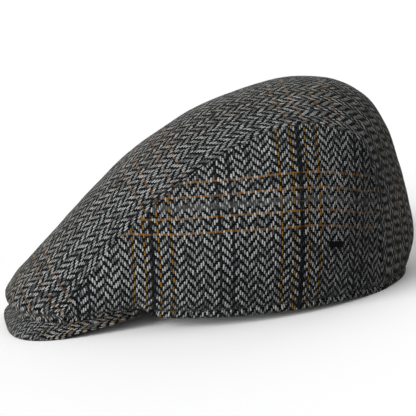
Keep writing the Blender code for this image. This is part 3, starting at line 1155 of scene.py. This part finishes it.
@dataclass
class TopPanel:
    """The top panel, from the peak over the crown and down the back."""

    shape: CapShape
    wall: ClothWall
    finish: Tweed
    stations: int = 264
    columns: int = 110
    seam_trim: float = 0.00025
    setback: float = 0.036
    grain_drift: float = 0.095
    grain_from: float = 0.178
    back_turn: float = 0.12
    back_from: float = 0.275
    back_run: float = 0.060
    weft_place: float = 0.034
    seed: int = 11

    def cloth(self, points: np.ndarray, outer: np.ndarray, v: np.ndarray) -> np.ndarray:
        """Cloth coordinates of the grid; the warp runs along the cap.

        Args:
            points: The panel's smooth grid.
            outer: Its outer face.
            v: Its places across.

        Returns:
            The coordinates.
        """
        middle = int(np.argmin(np.abs(v)))
        plain, along = running_length(points, 0), running_length(outer, 0)
        row = int(np.searchsorted(plain[:, middle], 6 * self.wall.tuck_height))
        along = along + plain[row] - along[row] + self.setback * v[None, :] ** 2
        across = running_length(points, 1)
        across = across - across[:, middle : middle + 1]
        turned = np.maximum(along - self.back_from, 0.0)
        lean = self.back_turn * turned**2 / (turned + self.back_run)
        drift = self.grain_drift * (along - self.grain_from) - lean
        return np.stack([across + drift, along - self.weft_place], axis=-1)

    def skin(self, s: np.ndarray, v: np.ndarray) -> tuple[np.ndarray, np.ndarray, np.ndarray]:
        """The panel's smooth grid and its two faces.

        Args:
            s: Places from the peak to the back of the rim.
            v: Places across.

        Returns:
            The smooth grid, then the outer and the inner face.
        """
        shape = self.shape
        points = shape.top_point(s, v)
        normals = grid_normals(points, shape.centre)
        across = running_length(points, 1)
        seam = np.minimum(across, across[:, -1:] - across)
        along = running_length(points, 0)
        hem = np.where(points[..., 0] > shape.rim_x, along[-1:] - along, 1.0)
        outer, inner = self.wall.faces(points, normals, seam, along, hem, along, along, self.seed)
        return points, outer, inner

    def build(self) -> bpy.types.Object:
        """Build and dress the panel.

        Returns:
            The piece.
        """
        shape = self.shape
        places = packed_places(self.stations, 0.25, 0.25, 0.015)
        s = np.interp(places, np.linspace(0, 1, 1001), shape.even_places(1000))
        half = packed_places(self.columns // 2, 0.0, 0.35, 0.05)
        trim = 1 - self.seam_trim / shape.top_half_width
        v = np.concatenate([-half[::-1], half[1:]]) * trim
        points, outer, inner = self.skin(s, v)
        obj = shell_object("top_panel_cloth", outer, inner, self.cloth(points, outer, v))
        obj.data.materials.append(self.finish.make())
        return settle(obj, Slot.TOP, "top_panel")


@dataclass
class SidePanel:
    """A side panel, between the seam and the crease and rim below it."""

    shape: CapShape
    wall: ClothWall
    finish: Tweed
    side: Side
    stations: int = 250
    rows: int = 96
    warp_place: float = 0.3168
    warp_lean: float = math.radians(6.8)
    warp_fan: float = 0.35
    fan_from: float = -0.006
    weft_place: float = 0.0686
    weft_lean: float = math.tan(math.radians(4.3))
    gather: float = 0.18
    gather_from: float = 0.040
    gather_to: float = 0.062
    weft_bend: float = 4.0
    bend_from: float = 0.048
    seed: int = 23

    def square(self, points: np.ndarray) -> np.ndarray:
        """Place of each point along the panel, square to its upright warp."""
        level = points[..., 0] * math.cos(self.warp_lean) - points[..., 2] * math.sin(self.warp_lean)
        return (level - self.fan_from) / (1 + self.warp_fan * (points[..., 2] - self.weft_place))

    def cloth(self, points: np.ndarray, s: np.ndarray) -> np.ndarray:
        """Cloth coordinates of the grid; the warp stands upright on the panel.

        Args:
            points: The panel's grid.
            s: Its places along the seam.

        Returns:
            The coordinates.
        """
        guide = points[:, points.shape[1] * 2 // 5]
        flat = guide * np.array([1.0, 1.0, 0.0])
        step = np.diff(running_length(flat, 0))
        taken = ease((guide[1:, 0] + guide[:-1, 0]) / 2, self.gather_from, self.gather_to)
        run = np.concatenate([[0.0], np.cumsum(step * (1 + self.gather * taken))])
        run = run - np.interp(self.warp_place, s, run)
        place = np.maximum.accumulate(self.square(guide) + 1e-7 * np.arange(len(guide)))
        across = read_on(self.square(points), place, run)
        level = unit(np.gradient(flat, axis=0))[:, None]
        rise = np.diff(points, axis=1)
        rise = rise - level * np.sum(rise * level, axis=-1, keepdims=True)
        up = np.cumsum(np.linalg.norm(rise, axis=-1), axis=1)
        up = np.concatenate([np.zeros_like(up[:, :1]), up], axis=1)
        ahead = (self.shape.rim_x - points[..., 0]) * self.weft_lean
        ahead = ahead - self.weft_bend * np.maximum(points[..., 0] - self.bend_from, 0.0) ** 2
        along = up + points[:, :1, 2] - self.shape.peak_board - ahead - self.weft_place
        return np.stack([across, along], axis=-1)

    def skin(self, s: np.ndarray, w: np.ndarray) -> tuple[np.ndarray, np.ndarray, np.ndarray]:
        """The panel's smooth grid and its two faces, on its own side of the cap.

        Args:
            s: Places along the seam.
            w: Places from the lower edge up to the seam.

        Returns:
            The smooth left grid, then the outer and the inner face.
        """
        shape = self.shape
        points = shape.side_point(s, w)
        normals = grid_normals(points, shape.centre)
        rib = running_length(points, 1)
        seam = rib[:, -1:] - rib
        on_rim = points[:, :1, 0] > shape.peak_end_x + shape.hem_step_run * 0.5
        fold = np.where(on_rim, 1.0, rib)
        hem = np.where(on_rim, rib, 1.0)
        along = np.broadcast_to(running_length(points[:, -1], 0)[:, None], rib.shape)
        leaving = ease(points[:, :1, 0], shape.peak_end_x - 0.016, shape.peak_end_x + 0.002)
        crease = rib + 4 * self.wall.tuck_height * leaving
        seed = self.seed + int(self.side.value)
        outer, inner = self.wall.faces(points, normals, seam, fold, hem, crease, along, seed)
        turn = np.array([1.0, -self.side.value, 1.0])
        return points, outer * turn, inner * turn

    def build(self) -> bpy.types.Object:
        """Build and dress the panel.

        Returns:
            The piece.
        """
        s = self.shape.even_places(self.stations)
        points, outer, inner = self.skin(s, packed_places(self.rows, 0.30, 0.22, 0.05))
        name = f"side_panel_{self.side.name.lower()}"
        obj = shell_object(f"{name}_cloth", outer, inner, self.cloth(points, s))
        obj.data.materials.append(self.finish.make())
        return settle(obj, Slot.SIDE, name)


@dataclass
class Peak:
    """The peak, a stiff board covered in tweed on both faces."""

    shape: CapShape
    finish: Tweed
    columns: int = 200
    rows: int = 40
    lip_steps: int = 8
    under_shift: float = 0.0047

    def ring(self, phi: float) -> tuple[np.ndarray, np.ndarray]:
        """One closed section of the peak.

        Args:
            phi: Its place from one tip (-1) to the other (1).

        Returns:
            The section's points and their cloth coordinates.
        """
        shape = self.shape
        rho = packed_places(self.rows, 0.0, 0.25, 0.12)
        x, y = shape.peak_plan(np.full_like(rho, phi), rho)
        middle = np.stack([x, y, shape.peak_top(x, y) - shape.peak_thickness / 2], axis=-1)
        out = unit(np.gradient(middle, axis=0))
        out[:, 2] = np.minimum(out[:, 2], 0.0)
        flat = unit(out * np.array([1.0, 1.0, 0.0]))
        level = np.linalg.norm(out[:, :2], axis=1)
        lift = unit(np.stack([-flat[:, 0] * out[:, 2], -flat[:, 1] * out[:, 2], level], axis=1))
        half = shape.peak_thickness / 2
        turn = np.linspace(math.pi / 2, -math.pi / 2, self.lip_steps + 2)[1:-1, None]
        lip = middle[-1] + half * (np.cos(turn) * out[-1] + np.sin(turn) * lift[-1])
        points = np.vstack([middle + lift * half, lip, (middle - lift * half)[::-1]])
        outward = self.outward(phi)
        upper = self.unrolled(middle, outward)
        edge = upper[-1] + outward[::-1] * (math.pi / 2 - turn) * half
        lower = upper[::-1] + np.array([0.0, self.under_shift])
        return points, np.vstack([upper, edge, lower])

    def outward(self, phi: float) -> np.ndarray:
        """Direction in plan that points straight out of the lip at a section."""
        shape = self.shape
        turn, power = abs(phi) * math.pi / 2, 2 * (shape.peak_roundness - 1) / shape.peak_roundness
        reach = shape.peak_end_x - shape.lip_x
        ahead = -(math.cos(turn) ** power) / reach
        aside = math.copysign(math.sin(turn) ** power / shape.peak_half_width, phi)
        return unit(np.array([ahead, aside]))

    def unrolled(self, middle: np.ndarray, outward: np.ndarray) -> np.ndarray:
        """Cloth coordinates where the board turns down towards the lip; the warp runs along the cap."""
        drop = self.shape.peak_inner_height - middle[:, 2]
        return np.stack([middle[:, 1] + outward[1] * drop, middle[:, 0] + outward[0] * drop], axis=-1)

    def build(self) -> bpy.types.Object:
        """Build and dress the peak.

        Returns:
            The piece.
        """
        sections = [self.ring(float(phi)) for phi in np.linspace(-1.0, 1.0, self.columns + 1)]
        points = np.array([section[0] for section in sections])
        cloth = np.array([section[1] for section in sections])
        points[..., 2] = np.maximum(points[..., 2], 0.0)
        count = points.shape[1]
        index = np.arange(len(points) * count).reshape(len(points), count)
        ahead = np.roll(index, -1, axis=1)
        quads = np.stack([index[:-1], ahead[:-1], ahead[1:], index[1:]], axis=-1).reshape(-1, 4)
        obj = cloth_object("peak_cloth", points.reshape(-1, 3), quads, cloth.reshape(-1, 2), fill=True)
        obj.data.materials.append(self.finish.make())
        return settle(obj, Slot.PEAK, "peak")


@dataclass
class SideTag:
    """A small bare bar on the left side panel."""

    shape: CapShape
    finish: Enamel
    length: float = 0.0102
    height: float = 0.0036
    depth: float = 0.0010
    stand_off: float = 0.0006
    seam_share: float = 0.657
    rib_share: float = 0.348
    rounding: float = 0.00035
    tilt: float = math.radians(-14.0)

    def build(self) -> bpy.types.Object:
        """Build and dress the tag.

        Returns:
            The piece.
        """
        shape, rib = self.shape, self.rib_share
        s = np.interp([self.seam_share * shape.seam_run[-1]], shape.seam_run, shape.seam_places)
        centre = shape.side_point(s, np.array([rib]))[0, 0]
        ahead = shape.side_point(s + 0.01, np.array([rib]))[0, 0]
        behind = shape.side_point(s - 0.01, np.array([rib]))[0, 0]
        along = unit((ahead - behind) * np.array([1.0, 1.0, 0.0]))
        above = shape.side_point(s, np.array([rib + 0.01]))[0, 0]
        below = shape.side_point(s, np.array([rib - 0.01]))[0, 0]
        outward = unit(np.cross(along, unit(above - below)))
        up = np.cross(outward, along)
        along = along * math.cos(self.tilt) + up * math.sin(self.tilt)
        up = np.cross(outward, along)
        middle = centre + outward * (self.stand_off + self.depth / 2)
        turn = Matrix((Vector(along), Vector(up), Vector(outward))).transposed().to_4x4()
        size = Matrix.Diagonal((self.length, self.height, self.depth, 1.0))
        bm = bmesh.new()
        bmesh.ops.create_cube(bm, size=1.0, matrix=size)
        edges = bm.edges[:]
        bmesh.ops.bevel(
            bm, geom=edges, offset=self.rounding, segments=4, profile=0.6, affect="EDGES", clamp_overlap=True
        )
        bmesh.ops.transform(bm, matrix=Matrix.Translation(Vector(middle)) @ turn, verts=bm.verts)
        mesh = bpy.data.meshes.new("side_tag_bar")
        bm.to_mesh(mesh)
        bm.free()
        smooth_faces(mesh)
        obj = add_object("side_tag_bar", mesh)
        obj.data.materials.append(self.finish.make())
        return settle(obj, Slot.TAG, "side_tag")


@dataclass
class HemStitches:
    """The row of stitches that holds the hem, all round behind the peak."""

    left: SidePanel
    top: TopPanel
    right: SidePanel
    finish: Thread
    stitch: float = 0.0026
    space: float = 0.0007
    radius: float = 0.00046
    proud: float = 0.00016
    seed: int = 7

    def read_at(
        self, depth: float, runs: np.ndarray, outer: np.ndarray, inner: np.ndarray
    ) -> np.ndarray:
        """Read the outer face of each rib where its run reaches a depth.

        Args:
            depth: The run to read at.
            runs: The run along each rib.
            outer: The outer face, rib by rib.
            inner: The inner face, rib by rib.

        Returns:
            One point for each rib, a little proud of the cloth.
        """
        places = outer + self.proud * unit(outer - inner)
        return np.array(
            [[np.interp(depth, run, row[:, k]) for k in range(3)] for run, row in zip(runs, places)]
        )

    def side_line(self, panel: SidePanel) -> np.ndarray:
        """Points of the stitch line on a side panel, from the peak to the rear seam."""
        shape, depth = panel.shape, panel.wall.stitch_place
        points, outer, inner = panel.skin(shape.even_places(300), np.linspace(0.0, 0.3, 120))
        rib = running_length(points, 1)
        kept = (rib[:, -1] >= 1.3 * depth) & (points[:, 0, 0] >= shape.peak_end_x + shape.hem_step_run)
        return self.read_at(depth, rib[kept], outer[kept], inner[kept])

    def back_line(self) -> np.ndarray:
        """Points of the stitch line on the back of the top panel, from left to right."""
        points, outer, inner = self.top.skin(np.linspace(0.0, 1.0, 2400), np.linspace(-0.97, 0.97, 90))
        run = running_length(points, 0)
        outer, inner = outer.swapaxes(0, 1), inner.swapaxes(0, 1)
        return self.read_at(-self.top.wall.stitch_place, (run - run[-1:]).T, outer, inner)

    def line(self) -> np.ndarray:
        """Points of the stitch line, from the left of the peak round the back to its right."""
        left, right = self.side_line(self.left), self.side_line(self.right)
        return np.vstack([left, self.back_line(), right[::-1]])

    def tree(self, material: bpy.types.Material) -> bpy.types.NodeTree:
        """Build the Geometry Nodes tree that sews the line.

        Args:
            material: The thread's material.

        Returns:
            The tree, with its sizes as named inputs.
        """
        tree = bpy.data.node_groups.new("hem_sewing", "GeometryNodeTree")
        nodes, face = Nodes(tree), tree.interface
        face.new_socket("Line", in_out="INPUT", socket_type="NodeSocketGeometry")
        for name, value in (("Stitch", self.stitch), ("Space", self.space), ("Radius", self.radius)):
            socket = face.new_socket(name, in_out="INPUT", socket_type="NodeSocketFloat")
            socket.default_value = value
        face.new_socket("Seed", in_out="INPUT", socket_type="NodeSocketInt").default_value = self.seed
        face.new_socket("Stitches", in_out="OUTPUT", socket_type="NodeSocketGeometry")

        def join(kind: str, **inputs: object) -> bpy.types.Node:
            """Add a node and set or link its named inputs."""
            node = nodes.add(kind)
            for key, value in inputs.items():
                nodes.put(node.inputs[key], value)
            return node

        given = nodes.add("NodeGroupInput").outputs
        curve = join("GeometryNodeMeshToCurve", Mesh=given["Line"])
        points = nodes.add("GeometryNodeCurveToPoints", mode="LENGTH")
        nodes.put(points.inputs["Curve"], curve.outputs[0])
        nodes.put(points.inputs["Length"], nodes.math("ADD", given["Stitch"], given["Space"]))
        bead = join("GeometryNodeMeshUVSphere", Segments=8, Rings=8, Radius=1.0)
        half = nodes.math("MULTIPLY", given["Stitch"], 0.5)
        size = join("ShaderNodeCombineXYZ", X=given["Radius"], Y=given["Radius"], Z=half)
        shaped = join("GeometryNodeTransform", Geometry=bead.outputs[0], Scale=size.outputs[0])
        vary = nodes.add("FunctionNodeRandomValue", data_type="FLOAT")
        for socket, value in ((2, 0.9), (3, 1.06), ("Seed", given["Seed"])):
            nodes.put(vary.inputs[socket], value)
        sewn = join(
            "GeometryNodeInstanceOnPoints",
            Points=points.outputs["Points"],
            Rotation=points.outputs["Rotation"],
            Instance=shaped.outputs[0],
            Scale=vary.outputs[1],
        )
        real = join("GeometryNodeRealizeInstances", Geometry=sewn.outputs[0])
        dressed = join("GeometryNodeSetMaterial", Geometry=real.outputs[0], Material=material)
        nodes.put(nodes.add("NodeGroupOutput").inputs[0], dressed.outputs[0])
        return tree

    def build(self) -> bpy.types.Object:
        """Sew the line and keep the stitches as a plain mesh.

        Returns:
            The piece.
        """
        line = self.line()
        mesh = bpy.data.meshes.new("hem_stitch_line")
        edges = [(i, i + 1) for i in range(len(line) - 1)]
        mesh.from_pydata(line.tolist(), edges, [])
        obj = add_object("hem_stitches", mesh)
        material = self.finish.make()
        tree = self.tree(material)
        sewing = obj.modifiers.new("sewing", "NODES")
        sewing.node_group = tree
        sizes = {"Stitch": self.stitch, "Space": self.space, "Radius": self.radius, "Seed": self.seed}
        for item in tree.interface.items_tree:
            if item.item_type == "SOCKET" and item.in_out == "INPUT" and item.name in sizes:
                sewing[item.identifier] = sizes[item.name]
        graph = bpy.context.evaluated_depsgraph_get()
        graph.update()
        baked = bpy.data.meshes.new_from_object(obj.evaluated_get(graph))
        obj.modifiers.clear()
        obj.data = baked
        baked.name = "hem_stitches"
        if not baked.materials:
            baked.materials.append(material)
        smooth_faces(baked)
        return settle(obj, Slot.SIDE)


@dataclass
class Studio:
    """Pale floor, soft lights and the camera."""

    azimuth: float = -6.879
    elevation: float = 12.363
    roll: float = -6.843
    distance: float = 1.60
    field: float = 0.26416
    pivot: tuple[float, float, float] = (0.01745, 0.0, 0.0053)
    aside: float = -0.01905
    above: float = 0.046546
    sensor: float = 36.0
    floor_colour: Colour = (0.95, 0.95, 0.95, 1.0)
    floor_cloud: Colour = (0.97, 0.97, 0.97, 1.0)
    room_light: float = 0.26
    # name, direction in which it hangs, angle in degrees that it fills, power
    softboxes: tuple[tuple[str, tuple[float, float, float], float, float], ...] = (
        ("key_softbox", (-0.84, -0.43, 0.34), 48.0, 4.3),
        ("top_softbox", (-0.05, 0.10, 1.00), 80.0, 0.65),
        ("fill_softbox", (0.05, -1.00, 0.04), 60.0, 0.68),
        ("far_softbox", (0.40, 0.85, 0.40), 60.0, 0.80),
    )

    def camera(self) -> bpy.types.Object:
        """Make the camera at the photo's angle.

        Returns:
            The camera.
        """
        az, el, roll = (math.radians(a) for a in (self.azimuth, self.elevation, self.roll))
        level = np.array([math.cos(az), math.sin(az), 0.0])
        back = np.array([math.sin(az) * math.cos(el), -math.cos(az) * math.cos(el), math.sin(el)])
        steep = np.cross(back, level)
        right = level * math.cos(roll) + steep * math.sin(roll)
        up = -level * math.sin(roll) + steep * math.cos(roll)
        aim = np.array(self.pivot) + right * self.aside + up * self.above
        place = aim + back * self.distance
        data = bpy.data.cameras.new("camera")
        data.sensor_width = self.sensor
        data.lens = self.sensor * self.distance / self.field
        data.clip_start, data.clip_end = 0.05, 60.0
        camera = add_object("camera", data)
        turn = Matrix((Vector(right), Vector(up), Vector(back))).transposed()
        camera.matrix_world = Matrix.Translation(Vector(place)) @ turn.to_4x4()
        bpy.context.scene.camera = camera
        return camera

    def floor(self) -> bpy.types.Object:
        """Make the pale floor.

        Returns:
            The floor.
        """
        bm = bmesh.new()
        bmesh.ops.create_grid(bm, x_segments=4, y_segments=4, size=12.0)
        mesh = bpy.data.meshes.new("floor")
        bm.to_mesh(mesh)
        bm.free()
        obj = add_object("floor", mesh)
        material, nodes = new_material("pale_floor")
        place = nodes.add("ShaderNodeTexCoord").outputs["Object"]
        cloud = nodes.noise(place, 3.0, 2.0)
        nodes.surface(nodes.mix(cloud, self.floor_colour, self.floor_cloud), 0.9, 0.1)
        obj.data.materials.append(material)
        obj.visible_diffuse = False
        return obj

    def light(self, name: str, towards: tuple[float, float, float], spread: float, power: float) -> None:
        """Hang a wide soft light far away, so that it lights the cap and the floor evenly.

        Args:
            name: Its name.
            towards: The direction in which it hangs.
            spread: The angle in degrees that it fills.
            power: Its power.
        """
        data = bpy.data.lights.new(name, "SUN")
        data.angle, data.energy = math.radians(spread), power
        lamp = add_object(name, data)
        lamp.location = towards
        lamp.rotation_mode = "QUATERNION"
        lamp.rotation_quaternion = (-Vector(towards)).to_track_quat("-Z", "Y")

    def room(self) -> None:
        """Make the even light of the room."""
        world = bpy.data.worlds.new("studio")
        world.use_nodes = True
        shade = world.node_tree.nodes["Background"]
        shade.inputs[0].default_value = (1.0, 1.0, 1.0, 1.0)
        shade.inputs[1].default_value = self.room_light
        bpy.context.scene.world = world

    def build(self) -> None:
        """Set up the floor, the lights, the world and the camera."""
        self.floor()
        for softbox in self.softboxes:
            self.light(*softbox)
        self.room()
        bpy.context.scene.view_settings.view_transform = "Standard"
        self.camera()


def report(obj: bpy.types.Object) -> None:
    """Log a piece's size and count of triangles.

    Args:
        obj: The piece.
    """
    obj.data.calc_loop_triangles()
    size = [round(value * 1000, 1) for value in obj.dimensions]
    LOG.info("%s: %d triangles, %s mm", obj.name, len(obj.data.loop_triangles), size)


def main() -> None:
    """Build the cap's pieces in order, then the studio."""
    logging.basicConfig(level=logging.INFO, format="%(name)s: %(message)s")
    shape, wall = CapShape(), ClothWall()
    top_tweed = Tweed(
        "top_tweed_cloth", warp_start=-16.1, colour_strength=0.50, stripe_strength=0.45, band_strength=0.3
    )
    right_tweed = Tweed("right_tweed_cloth", warp_start=21.0, weft_start=9.0)
    top = TopPanel(shape, wall, top_tweed)
    left = SidePanel(shape, wall, Tweed("left_tweed_cloth"), Side.LEFT)
    right = SidePanel(shape, wall, right_tweed, Side.RIGHT)
    pieces = [
        top,
        left,
        right,
        Peak(shape, Tweed("peak_tweed_cloth", warp_start=13.0, weft_start=17.0, colour_strength=0.60)),
        SideTag(shape, Enamel()),
        HemStitches(left, top, right, Thread()),
    ]
    for piece in pieces:
        report(piece.build())
    Studio().build()


if __name__ == "__main__":
    main()
